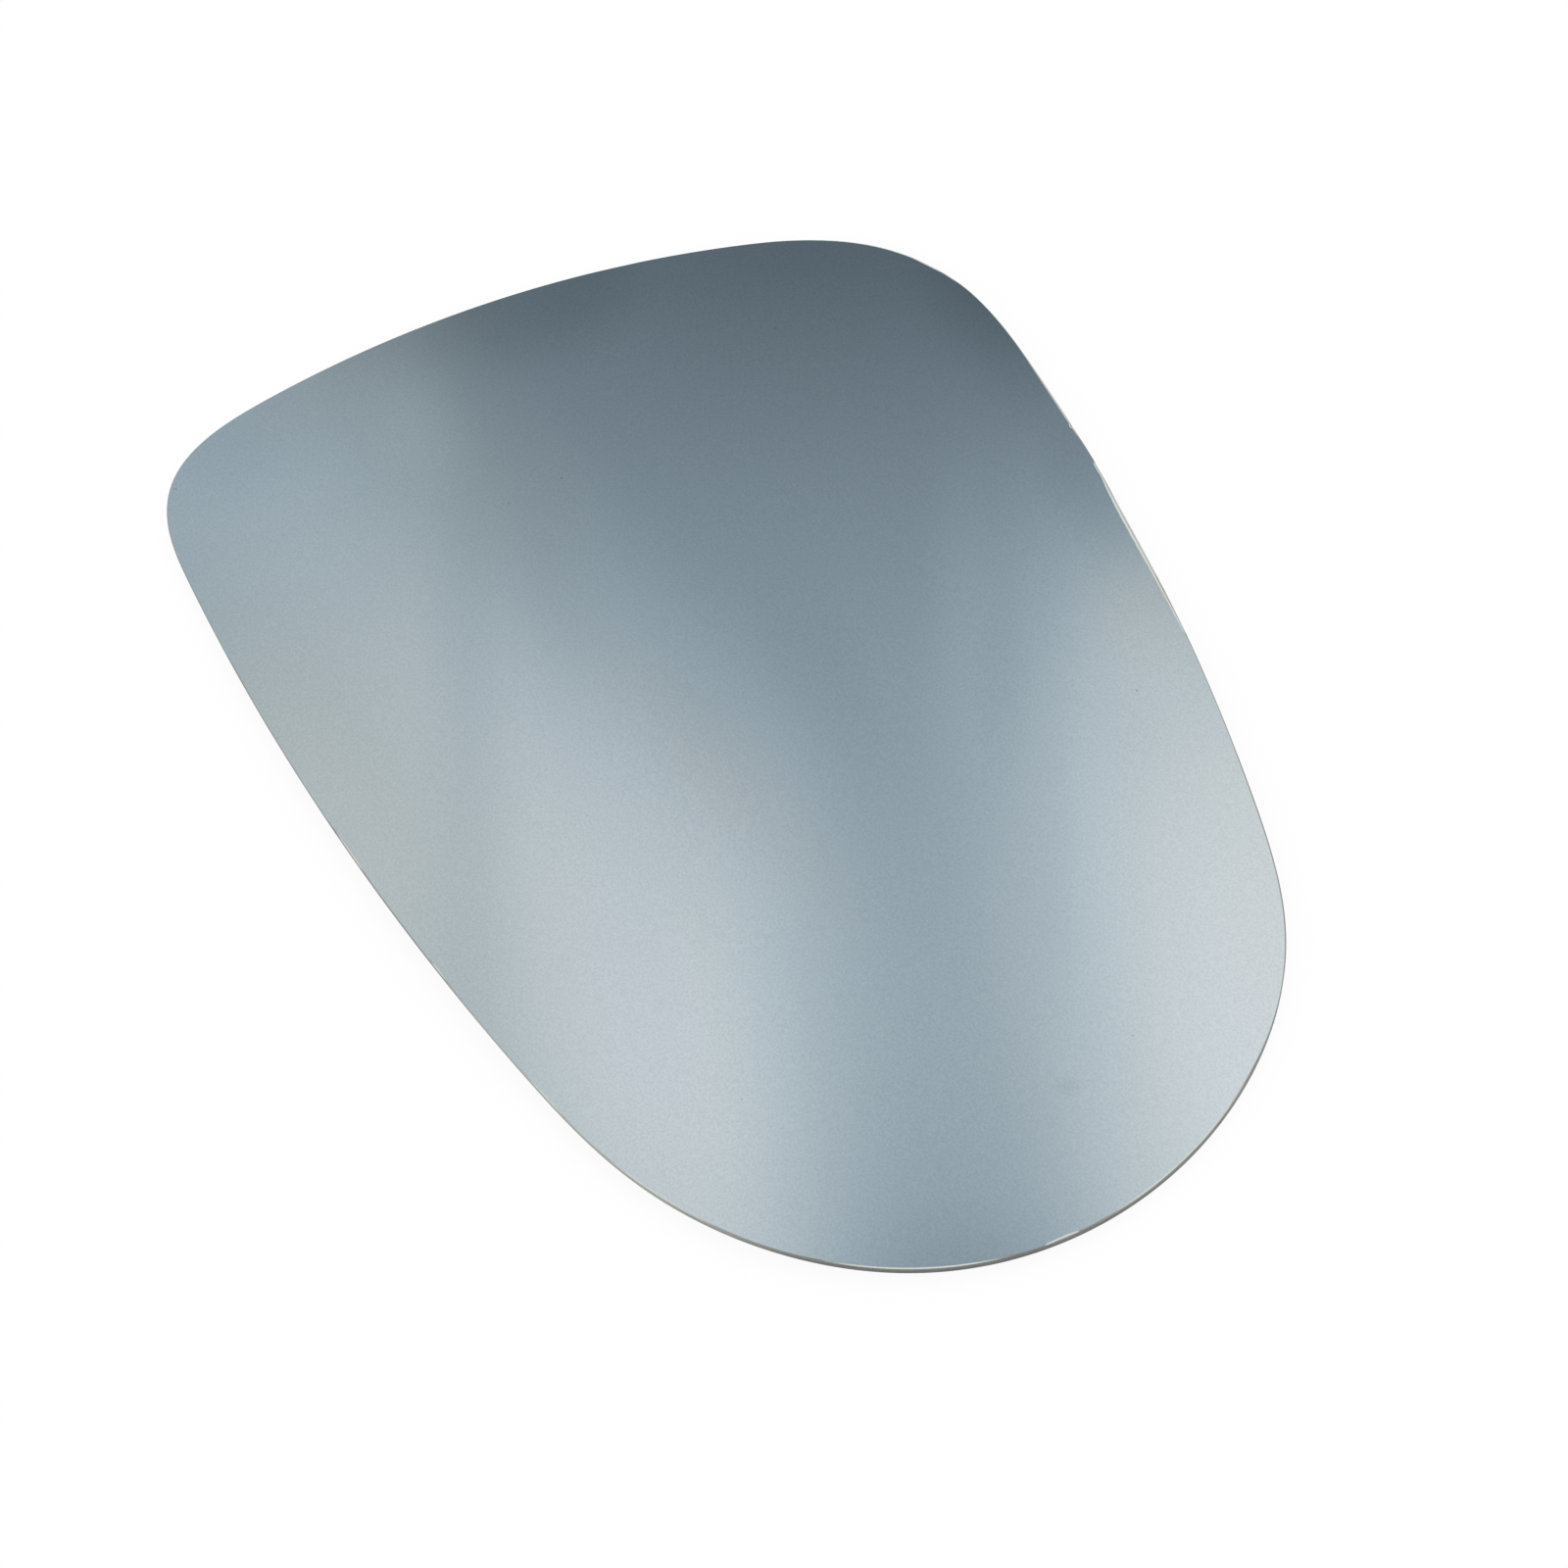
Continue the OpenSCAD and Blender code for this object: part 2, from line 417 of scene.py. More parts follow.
def ground_arris():
    material, tree, place = new_finish("float_glass_ground_on_a_belt", "#c6c6bc")
    drift = pattern(tree, place, ARRIS_DRIFT, 0.0, 1.0, detail=3.0)
    strip = add(tree, "ShaderNodeMix", {
        0: drift, 6: srgb("#cdd5d5"), 7: srgb("#c4c9be")}, data_type="RGBA")
    powder = add(tree, "ShaderNodeMix", {
        0: drift, 6: srgb("#83857f"), 7: srgb("#696b64")}, data_type="RGBA")
    powder = add(tree, "ShaderNodeMix", {
        0: stain(tree, place, *PALER_LOWER_STRETCH), 6: powder, 7: srgb("#a4a8a1")}, data_type="RGBA")
    powder = add(tree, "ShaderNodeMix", {
        0: stain(tree, place, *DARKER_TIP_STRETCH), 6: powder, 7: srgb("#5a5f58")}, data_type="RGBA")
    tint = add(tree, "ShaderNodeMix", {
        0: zone_of_arris(tree, *CLEAN_RIM), 6: powder, 7: srgb("#d6d7d1")}, data_type="RGBA")
    tint = add(tree, "ShaderNodeMix", {
        0: zone_of_arris(tree, *PALE_STRIP), 6: tint, 7: strip}, data_type="RGBA")
    tint = add(tree, "ShaderNodeMix", {
        0: pattern(tree, place, PIT, 0.0, 0.35), 6: tint, 7: srgb("#989a94")}, data_type="RGBA")
    bump = add(tree, "ShaderNodeBump", {
        "Height": pattern(tree, place, PIT, 0.0, 1.0), "Strength": 0.35, "Distance": 0.03 * MM})
    shader = add(tree, "ShaderNodeBsdfPrincipled", {
        "Base Color": tint, "Roughness": pattern(tree, place, PIT, 0.5, 0.68), "IOR": GLASS_IOR,
        "Normal": bump})
    print(material.name, "has", close_finish(tree, shader), "nodes")
    return material


ARRIS = ground_arris()

# %% [markdown]
# ### Square land
#
# Below the arris the edge stands square to the face. It is the snapped cut with one pass of the
# belt over it, so it is half clear. The eye looks through it into the sheet, where it meets the
# dark back of the coat. Where it faces the eye it is a dark line. Where it is seen at a low
# angle it throws back the white bench and turns pale. Glass that is looked into can't be told
# from a dark satin surface at this size, so it is made as one. Its dark colour is painted shade:
# the dark inside the glass, and the shadow under the rim that the edge throws back.

# %% Square land
# Sizes of the patterns, in mm: the change round the sheet, and the streaks of the one pass
LAND_DRIFT, PASS_STREAK = 16, 0.5
ALONG_THE_EDGE = (0.35, 0.35, 2.5)  # the streaks are seven times as long as they are high


def square_land():
    material, tree, place = new_finish("float_glass_edge_snapped_and_ground", "#5f5c53")
    drift = pattern(tree, place, LAND_DRIFT, 0.0, 1.0, detail=3.0)
    # Painted shade: the dark inside the glass and the shadow under the rim that the land throws
    # back are laid into its colour.
    tint = add(tree, "ShaderNodeMix", {
        0: drift, 6: srgb("#383b35"), 7: srgb("#1f231e")}, data_type="RGBA")
    streaks = pattern(tree, place, PASS_STREAK, 0.0, 0.5, detail=3.0, stretch=ALONG_THE_EDGE)
    tint = add(tree, "ShaderNodeMix", {0: streaks, 6: tint, 7: srgb("#54574e")}, data_type="RGBA")
    # Painted reflection and painted shade: the land is made paler along the lower edge, where it
    # is seen at a low angle and throws back the bench, and darker beside the tip, where it faces
    # the eye.
    tint = add(tree, "ShaderNodeMix", {
        0: stain(tree, place, *PALER_LOWER_STRETCH), 6: tint, 7: srgb("#7f837b")}, data_type="RGBA")
    tint = add(tree, "ShaderNodeMix", {
        0: stain(tree, place, *DARKER_TIP_STRETCH), 6: tint, 7: srgb("#171a16")}, data_type="RGBA")
    bump = add(tree, "ShaderNodeBump", {
        "Height": pattern(tree, place, PASS_STREAK, 0.0, 1.0, detail=3.0, stretch=ALONG_THE_EDGE),
        "Strength": 0.3, "Distance": 0.03 * MM})
    gloss = pattern(tree, place, PASS_STREAK, 0.3, 0.5, detail=3.0, stretch=ALONG_THE_EDGE)
    shader = add(tree, "ShaderNodeBsdfPrincipled", {
        "Base Color": tint, "Roughness": gloss, "IOR": GLASS_IOR, "Normal": bump})
    print(material.name, "has", close_finish(tree, shader), "nodes")
    return material


LAND = square_land()

# %% [markdown]
# ### Painted back
#
# The back of the sheet gets a stoved protective paint that is poured on as a curtain. It is a
# matt middle grey with the soft lumps of orange peel and pale grains of filler. It can't be
# seen in the photo and follows what such glasses have.

# %% Painted back
# Sizes of the patterns, in mm: the depth of the paint, the grains of filler and the orange peel
PAINT_DRIFT, FILLER, ORANGE_PEEL = 30, 0.4, 1.6
GRAINY = (0.62, 0.72)  # the part of the noise where a grain begins


def painted_back():
    material, tree, place = new_finish("stoved_mirror_back_paint", "#666c70")
    drift = pattern(tree, place, PAINT_DRIFT, 0.0, 1.0, detail=3.0)
    tint = add(tree, "ShaderNodeMix", {
        0: drift, 6: srgb("#646a6e"), 7: srgb("#6e7478")}, data_type="RGBA")
    grains = pattern(tree, place, FILLER, 0.0, 1.0, detail=1.0, noise_range=GRAINY)
    tint = add(tree, "ShaderNodeMix", {0: grains, 6: tint, 7: srgb("#83888b")}, data_type="RGBA")
    bump = add(tree, "ShaderNodeBump", {
        "Height": pattern(tree, place, ORANGE_PEEL, 0.0, 1.0, detail=1.0), "Strength": 0.35,
        "Distance": 0.05 * MM})
    gloss = pattern(tree, place, ORANGE_PEEL, 0.5, 0.62, detail=1.0)
    shader = add(tree, "ShaderNodeBsdfPrincipled", {
        "Base Color": tint, "Roughness": gloss, "IOR": 1.5, "Normal": bump})
    print(material.name, "has", close_finish(tree, shader), "nodes")
    return material


BACK = painted_back()

# %% [markdown]
# ## The bent sheet
#
# The sheet follows one rule. Take a place on the outline, move it in from the edge by some
# inset or towards the middle by some share, and lay it on the bend at some depth under the
# mirror face. Geometry Nodes can say that rule once and use it for five nets: the mirror face,
# the front arris, the land, the back arris and the back. Each net is a plain grid. Its first
# direction runs round the outline and its second across the face or the edge, and the rule says
# where each grid point goes. A solid with a bevel would come close, but its arris would have the
# same width everywhere and its face would be made of flat pieces, which a mirror shows at once.

# %% Inputs of the tree
SIZES = {
    "Face radius": "Float", "Thickness": "Float", "Crown height": "Float", "Back arris": "Float",
    "Around": "Int", "Rings": "Int", "Ragged": "Float", "Seed": "Float",
    "Face": "Material", "Arris": "Material", "Land": "Material", "Back": "Material"}

sheet_tree = bpy.data.node_groups.new("bent_glass_sheet", "GeometryNodeTree")
sheet_tree.interface.new_socket(name="Outline", in_out="INPUT", socket_type="NodeSocketGeometry")
for name, kind in SIZES.items():
    sheet_tree.interface.new_socket(name=name, in_out="INPUT", socket_type="NodeSocket" + kind)
sheet_tree.interface.new_socket(name="Sheet", in_out="OUTPUT", socket_type="NodeSocketGeometry")
given = add(sheet_tree, "NodeGroupInput").outputs
print("tree inputs:", ", ".join(SIZES))

# %% [markdown]
# The rule gets a node group of its own. A point of the flat outline goes up to the mirror face
# by the height of the sphere there, and then towards the sphere's centre by its depth, so that
# the edge stands square to the bent face everywhere.

# %% The rule that lays a point on the bend
RULE = {
    "Place": "Vector", "Outward": "Vector", "Share": "Float", "Inset": "Float", "Depth": "Float",
    "Face radius": "Float", "Crown height": "Float"}

bend_tree = bpy.data.node_groups.new("lay_on_the_bend", "GeometryNodeTree")
for name, kind in RULE.items():
    bend_tree.interface.new_socket(name=name, in_out="INPUT", socket_type="NodeSocket" + kind)
bend_tree.interface.new_socket(name="Position", in_out="OUTPUT", socket_type="NodeSocketVector")


def lay_on_the_bend(tree):
    given = add(tree, "NodeGroupInput").outputs
    radius = given["Face radius"]
    inward = add(tree, "ShaderNodeVectorMath", {
        0: given["Outward"], "Scale": given["Inset"]}, operation="SCALE")
    moved = add(tree, "ShaderNodeVectorMath", {0: given["Place"], 1: inward}, operation="SUBTRACT")
    flat = add(tree, "ShaderNodeVectorMath", {
        0: moved, "Scale": given["Share"]}, operation="SCALE")
    away = add(tree, "ShaderNodeVectorMath", {0: flat, 1: flat}, operation="DOT_PRODUCT")
    square = add(tree, "ShaderNodeMath", {0: radius, 1: radius}, operation="MULTIPLY")
    left = add(tree, "ShaderNodeMath", {0: square, 1: away.outputs["Value"]}, operation="SUBTRACT")
    rise = add(tree, "ShaderNodeMath", {0: left}, operation="SQRT")
    rise = add(tree, "ShaderNodeCombineXYZ", {"Z": rise})
    on_face = add(tree, "ShaderNodeVectorMath", {0: flat, 1: rise}, operation="ADD")
    part = add(tree, "ShaderNodeMath", {0: given["Depth"], 1: radius}, operation="DIVIDE")
    kept = add(tree, "ShaderNodeMath", {0: 1.0, 1: part}, operation="SUBTRACT")
    below = add(tree, "ShaderNodeVectorMath", {0: on_face, "Scale": kept}, operation="SCALE")
    centre = add(tree, "ShaderNodeMath", {
        0: given["Crown height"], 1: radius}, operation="SUBTRACT")
    centre = add(tree, "ShaderNodeCombineXYZ", {"Z": centre})
    position = add(tree, "ShaderNodeVectorMath", {0: below, 1: centre}, operation="ADD")
    add(tree, "NodeGroupOutput", {"Position": position})


lay_on_the_bend(bend_tree)
print("the rule takes", len(bend_tree.nodes), "nodes")

# %% [markdown]
# Each net reads the outline at the share of its length that the grid point stands for. The
# curve gives three things there: the place, the direction it runs in, which turned by a quarter
# points outwards, and the width of the arris. A noise with a fixed seed makes that width ragged,
# because a belt never leaves a clean line.

# %% Read the outline at every point of a grid
RAGGED_PITCH = 1.3  # mm between the steps of the ragged line


def grid_on_outline(tree, given, rows):
    """A flat grid, its share across, and the place, outward direction and arris of each point."""
    flat = add(tree, "GeometryNodeMeshGrid", {
        "Size X": 1.0, "Size Y": 1.0, "Vertices X": given["Around"], "Vertices Y": rows})
    shares = add(tree, "ShaderNodeVectorMath", {
        0: add(tree, "GeometryNodeInputPosition"), 1: (0.5, 0.5, 0.0)}, operation="ADD")
    shares = add(tree, "ShaderNodeSeparateXYZ", {0: shares}).outputs
    sample = add(tree, "GeometryNodeSampleCurve", {
        "Curves": given["Outline"], "Value": add(tree, "GeometryNodeInputRadius"),
        "Factor": shares["X"]}, mode="FACTOR", data_type="FLOAT").outputs
    outward = add(tree, "ShaderNodeVectorMath", {
        0: sample["Tangent"], 1: (0.0, 0.0, 1.0)}, operation="CROSS_PRODUCT")
    noise = add(tree, "ShaderNodeTexNoise", {
        "Vector": sample["Position"], "W": given["Seed"], "Scale": 1 / (RAGGED_PITCH * MM),
        "Detail": 3.0}, noise_dimensions="4D")
    swing = add(tree, "ShaderNodeMath", {0: noise.outputs["Fac"], 1: 0.5}, operation="SUBTRACT")
    swing = add(tree, "ShaderNodeMath", {
        0: swing, 1: given["Ragged"], 2: 1.0}, operation="MULTIPLY_ADD")
    width = add(tree, "ShaderNodeMath", {0: sample["Value"], 1: swing}, operation="MULTIPLY")
    return flat.outputs["Mesh"], shares["Y"], sample["Position"], outward, width


print("the ragged line turns about every", RAGGED_PITCH, "mm")

# %% [markdown]
# The five nets differ only in how share, inset and depth run across them. On an arris both run
# as a power a little over one, which makes it bulge like a face that was rocked on the belt.

# %% The five nets
ROCKED = 1.2
# Lines of points across the arris, the land and the arris of the back
ARRIS_ROWS, LAND_ROWS, BACK_ARRIS_ROWS = 4, 5, 3
FINISHES = ("Face", "Arris", "Land", "Back")


def rocked(tree, share, width):
    raised = add(tree, "ShaderNodeMath", {0: share, 1: ROCKED}, operation="POWER")
    return add(tree, "ShaderNodeMath", {0: raised, 1: width}, operation="MULTIPLY")


def net(tree, given, rows, finish, across_net):
    """across_net(across, left, width) gives share, inset and depth, where left is 1 - across."""
    mesh, across, place, outward, width = grid_on_outline(tree, given, rows)
    left = add(tree, "ShaderNodeMath", {0: 1.0, 1: across}, operation="SUBTRACT")
    share, inset, depth = across_net(across, left, width)
    for name, value in ((ACROSS, across), (WIDTH, width)):
        mesh = add(tree, "GeometryNodeStoreNamedAttribute", {
            "Geometry": mesh, "Name": name, "Value": value}, data_type="FLOAT", domain="CORNER")
    laid = add(tree, "GeometryNodeGroup", {
        "Place": place, "Outward": outward, "Share": share, "Inset": inset, "Depth": depth,
        "Face radius": given["Face radius"], "Crown height": given["Crown height"]},
        node_tree=bend_tree)
    moved = add(tree, "GeometryNodeSetPosition", {"Geometry": mesh, "Position": laid})
    return add(tree, "GeometryNodeStoreNamedAttribute", {
        "Geometry": moved, "Name": "finish", "Value": FINISHES.index(finish)},
        data_type="INT", domain="FACE")


def five_nets(tree, given):
    thick, back = given["Thickness"], given["Back arris"]
    land_end = add(tree, "ShaderNodeMath", {0: thick, 1: back}, operation="SUBTRACT")
    return [
        net(tree, given, given["Rings"], "Face", lambda across, left, width: (across, width, 0.0)),
        net(tree, given, ARRIS_ROWS, "Arris", lambda across, left, width: (
            1.0, rocked(tree, left, width), rocked(tree, across, width))),
        net(tree, given, LAND_ROWS, "Land", lambda across, left, width: (
            1.0, 0.0, add(tree, "ShaderNodeMix", {0: across, 2: width, 3: land_end}))),
        net(tree, given, BACK_ARRIS_ROWS, "Arris", lambda across, left, width: (
            1.0, rocked(tree, across, back), add(tree, "ShaderNodeMath", {
                0: thick, 1: rocked(tree, left, back)}, operation="SUBTRACT"))),
        net(tree, given, given["Rings"], "Back", lambda across, left, width: (left, back, thick)),
    ]


nets = five_nets(sheet_tree, given)
print(len(nets), "nets take", len(sheet_tree.nodes), "nodes")

# %% Join the nets and give each its finish
SEAM = 0.0008  # mm: points closer than this are one point


def close_sheet(tree, given, nets):
    joined = add(tree, "GeometryNodeJoinGeometry")
    for piece in nets:
        tree.links.new(piece.outputs["Geometry"], joined.inputs[0])
    merged = add(tree, "GeometryNodeMergeByDistance", {"Geometry": joined, "Distance": SEAM * MM})
    sheet = add(tree, "GeometryNodeRealizeInstances", {"Geometry": merged})
    number = add(tree, "GeometryNodeInputNamedAttribute", {"Name": "finish"}, data_type="INT")
    for index, finish in enumerate(FINISHES):
        chosen = add(tree, "FunctionNodeCompare", {
            2: number, 3: index}, data_type="INT", operation="EQUAL")
        sheet = add(tree, "GeometryNodeSetMaterial", {
            "Geometry": sheet, "Selection": chosen, "Material": given[finish]})
    add(tree, "NodeGroupOutput", {"Sheet": sheet})


close_sheet(sheet_tree, given, nets)
print("the whole sheet takes", len(sheet_tree.nodes), "nodes")

# %% [markdown]
# ## Turn the rule into a mesh
#
# The tree's inputs are set on the modifier by their identifiers before the object is looked at
# for the first time. The result is copied to a plain mesh, and the curve and the modifier go.
# The rim of the back hangs some way below the middle of the face. The middle has to lie that
# high for the rim to stand on the bench.

# %% Run the tree
furthest = np.linalg.norm(outline, axis=1).max() - BACK_ARRIS
RIM_DROP = FACE_RADIUS - (FACE_RADIUS - THICKNESS) * math.sqrt(1 - (furthest / FACE_RADIUS) ** 2)


def run_tree(source, tree, values):
    """Sets the tree's inputs on the object, and returns its result as a mesh object."""
    modifier = source.modifiers.new("bent sheet", "NODES")
    modifier.node_group = tree
    identifiers = {item.name: item.identifier for item in tree.interface.items_tree}
    for name, value in values.items():
        modifier[identifiers[name]] = value
    bpy.context.view_layer.update()
    evaluated = source.evaluated_get(bpy.context.evaluated_depsgraph_get())
    mesh = bpy.data.meshes.new_from_object(evaluated)
    # The curve had no material, and the mesh keeps an empty slot for that.
    while None in list(mesh.materials):
        mesh.materials.pop(index=list(mesh.materials).index(None))
    mesh.attributes.remove(mesh.attributes["finish"])
    made = bpy.data.objects.new(source.name, mesh)
    bpy.context.scene.collection.objects.link(made)
    source.modifiers.clear()
    bpy.data.objects.remove(source)
    return made


glass = run_tree(glass, sheet_tree, {
    "Face radius": FACE_RADIUS * MM, "Thickness": THICKNESS * MM, "Crown height": RIM_DROP * MM,
    "Back arris": BACK_ARRIS * MM, "Around": 1500, "Rings": 14, "Ragged": 0.25, "Seed": 4.0,
    "Face": FACE, "Arris": ARRIS, "Land": LAND, "Back": BACK})
glass.name = glass.data.name = "mirror_glass_sheet"
print("crown at", round(RIM_DROP, 3), "mm;", len(glass.data.polygons), "faces;",
      [material.name for material in glass.data.materials])

# %% [markdown]
# A mirror shows every flat, so the whole mesh is shaded smooth, and only the lines where two
# nets meet at an angle stay crisp. The faces must point outwards, and the mesh must be closed.
# Both are measured here: an open mesh has edges with one face, and a mesh turned inside out has
# a volume below zero.

# %% Shade it and check that it is closed
CRISP_ANGLE = math.radians(16)
CUBIC_CM = 1e-6  # in cubic metres
build = bmesh.new()
build.from_mesh(glass.data)
bmesh.ops.recalc_face_normals(build, faces=build.faces)
open_edges = sum(1 for edge in build.edges if len(edge.link_faces) != 2)
volume = build.calc_volume(signed=True)
build.to_mesh(glass.data)
build.free()
glass.data.polygons.foreach_set("use_smooth", [True] * len(glass.data.polygons))
glass.data.set_sharp_from_angle(angle=CRISP_ANGLE)
print("open edges:", open_edges, " volume:", round(volume / CUBIC_CM, 2), "cubic cm")

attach(glass, "root")
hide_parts("mirror_glass")

# %% [markdown]
# ## The board that the mirror sees
#
# A mirror has no colour of its own. Photographed against white it would vanish, so a
# photographer hangs large boards over it and shades them off softly: what the boards show is
# what the glass shows. Here one big board hangs a metre above the bench. It is seen only in
# reflections, so it throws no shadow and takes no light from the bench.
#
# Soft ovals are painted on it, and most are long and thin. Four large ones make the picture: the
# dark far side of the room, a dark strip where the camera stands, and the light of two windows.
# The smaller ones sharpen it, such as the stand that shows as a faint upright line at the left
# of the picture, and the bright frame that gives the far window a firm side. Four more lie where
# only other views look. A last set changes no tone and only lays a breath of colour over the
# grey: warm from a wooden wall, cool from the sky. Pictures from such a board stay soft, as its
# distance and the haze of the face blur them. Far out the board runs into the white of the room,
# so that it shows no edge.

# %% The painted board
BOARD_HEIGHT, BOARD_SIZE = 1.0, 24.0  # m
PLAIN_TONE, FAR_TONE = 0.62, 1.0
PLAIN_REACH, FAR_REACH = 3.0, 11.0  # how far out it is plain, and where it is white, in m
# name, middle (m), half length and half width (m), turn (degrees), solid share, tone added
SHAPES = [
    ("dark side of the room", (-1.41, 0.69), (1.40, 1.00), -31, 0.24, -0.50),
    ("dark strip at the camera", (0.20, -0.07), (0.74, 0.165), -18, 0.26, -0.50),
    ("near window", (-0.19, 0.00), (1.40, 0.23), 5, 0.01, 0.30),
    ("far window", (0.20, 0.36), (0.92, 0.28), -4, 0.51, 0.39),
    ("stand", (-0.55, -0.08), (0.48, 0.045), -21, 0.0, -0.07),
    ("shade beside the stand", (-0.73, 0.05), (0.20, 0.055), -10, 0.0, -0.035),
    ("wall behind the stand", (-0.62, -0.17), (0.27, 0.07), 0, 0.0, 0.085),
    ("lit end of the wall", (-0.95, 0.03), (0.12, 0.055), 0, 0.0, 0.05),
    ("dark doorway", (-1.04, 0.16), (0.14, 0.11), 0, 0.3, -0.045),
    ("dark beam", (-0.80, 0.46), (0.20, 0.08), -3, 0.0, -0.07),
    ("end of the beam", (-0.60, 0.42), (0.09, 0.05), -8, 0.3, -0.04),
    ("lit corner by the beam", (-0.48, 0.38), (0.10, 0.06), -20, 0.0, 0.05),
    ("frame of the far window", (-0.35, 0.28), (0.28, 0.03), -26, 0.0, 0.03),
    ("glow beside the frame", (-0.56, 0.29), (0.22, 0.035), -27, 0.0, 0.03),
    ("shade at the rounded end", (-0.10, 0.05), (0.08, 0.16), -25, 0.0, -0.085),
    ("foot of the near window", (-0.34, -0.07), (0.12, 0.05), -15, 0.0, 0.025),
    ("side of the near window", (-0.48, 0.17), (0.24, 0.06), -8, 0.0, -0.035),
    ("dark corner", (-1.02, -0.10), (0.10, 0.08), -10, 0.0, -0.04),
    ("window across the room", (0.3, 3.6), (2.6, 1.5), 8, 0.1, 0.26),
    ("shelf under that window", (-0.6, 2.0), (1.5, 0.4), -6, 0.0, -0.12),
    ("window behind", (2.6, -2.9), (2.2, 1.1), 38, 0.1, 0.24),
    ("open door", (-3.4, -1.6), (1.2, 1.9), -15, 0.1, 0.2),
]
# The same without a tone: the colour that the oval multiplies the paint by
TINTS = [
    ("wooden wall", (-0.66, -0.17), (0.42, 0.18), 5, 0.0, "#fffbf4"),
    ("lit end of the wall", (-0.85, 0.02), (0.30, 0.13), 0, 0.0, "#fffcf7"),
    ("edge of the near window", (-0.53, 0.09), (0.26, 0.05), 10, 0.0, "#fffbf8"),
    ("sky in the near window", (-0.32, 0.05), (0.22, 0.08), -25, 0.0, "#fafdff"),
    ("sky in the far window", (-0.32, 0.25), (0.28, 0.06), -27, 0.0, "#f9fdff"),
    ("lit corner by the beam", (-0.50, 0.40), (0.09, 0.06), -15, 0.2, "#fffcf8"),
    ("plaster at the far window", (-0.24, 0.34), (0.24, 0.07), -25, 0.2, "#fffefb"),
    ("doorway", (-1.06, 0.04), (0.14, 0.26), 0, 0.0, "#fffbf8"),
    ("lilac of the near window", (-0.38, -0.03), (0.22, 0.06), -15, 0.0, "#fdfcff"),
]
# tone and the paint that has it: the darker it gets, the bluer
PAINTS = [(0.22, "#768289"), (0.55, "#bac6cc"), (0.9, "#f4f5f3")]


def painted_board():
    material, tree, place = new_finish("painted_board", "#c0c8cc")
    tone = soft_oval(tree, place, (0.0, 0.0, BOARD_HEIGHT), (FAR_REACH, FAR_REACH), 0,
                     PLAIN_REACH / FAR_REACH, PLAIN_TONE, FAR_TONE)
    for name, middle, half, turn, solid, change in SHAPES:
        shape = soft_oval(tree, place, (*middle, BOARD_HEIGHT), half, turn, solid, change)
        tone = add(tree, "ShaderNodeMath", {0: tone, 1: shape}, operation="ADD", label=name)
    paint = add(tree, "ShaderNodeValToRGB", {0: tone})
    stops = paint.color_ramp.elements
    stops[0].color, stops[1].color = srgb("#000000"), srgb("#ffffff")
    for position, code in PAINTS:
        stops.new(position).color = srgb(code)
    for name, middle, half, turn, solid, code in TINTS:
        share = soft_oval(tree, place, (*middle, BOARD_HEIGHT), half, turn, solid, 1.0)
        paint = add(tree, "ShaderNodeMix", {0: share, 6: paint, 7: srgb(code)},
                    data_type="RGBA", blend_type="MULTIPLY", label=name)
    light = add(tree, "ShaderNodeEmission", {"Color": paint, "Strength": 1.0})
    print(material.name, "has", close_finish(tree, light), "nodes,", len(SHAPES), "shapes and",
          len(TINTS), "tints")
    return material


def level_plane(name, size, height, material):
    half = size / 2
    mesh = bpy.data.meshes.new(name)
    mesh.from_pydata([(-half, -half, height), (half, -half, height), (half, half, height),
                      (-half, half, height)], [], [(0, 1, 2, 3)])
    mesh.materials.append(material)
    plane = bpy.data.objects.new(name, mesh)
    bpy.context.scene.collection.objects.link(plane)
    return plane


board = level_plane("painted_board", BOARD_SIZE, BOARD_HEIGHT, painted_board())
board.visible_camera = board.visible_diffuse = board.visible_shadow = False
board.visible_transmission = False

# %% [markdown]
# ## Bench and background
#
# The bench is a pale matt sheet. To the camera it is mostly an even white, as in the photo,
# with enough of its own shading left to hold the thin shadow under the rim. The world behind it
# is the same white to the camera and in reflections, and a plain soft light to everything else.

# %% Bench and world
WHITE_SHARE = 0.92  # how much of the bench is the even white
ROOM_LIGHT = 0.85
BENCH_SIZE = 30.0  # m
BENCH_DROP = 0.02 * MM  # it lies this far under the rim, so that the two never share a plane


def seen_rays(tree):
    """1 for what the camera sees directly, in a reflection or through glass."""
    rays = add(tree, "ShaderNodeLightPath").outputs
    seen = add(tree, "ShaderNodeMath", {
        0: rays["Is Glossy Ray"], 1: rays["Is Transmission Ray"]}, operation="MAXIMUM")
    return add(tree, "ShaderNodeMath", {0: rays["Is Camera Ray"], 1: seen}, operation="MAXIMUM")


def pale_bench():
    material, tree, _ = new_finish("pale_bench", "#f0f0f0")
    lit = add(tree, "ShaderNodeBsdfDiffuse", {"Color": srgb("#f0f0f0")})
    white = add(tree, "ShaderNodeEmission", {"Color": srgb("#ffffff"), "Strength": 1.0})
    share = add(tree, "ShaderNodeMath", {0: seen_rays(tree), 1: WHITE_SHARE}, operation="MULTIPLY")
    mixed = add(tree, "ShaderNodeMixShader", {0: share, 1: lit, 2: white})
    print(material.name, "has", close_finish(tree, mixed), "nodes")
    return material


level_plane("pale_bench", BENCH_SIZE, -BENCH_DROP, pale_bench())

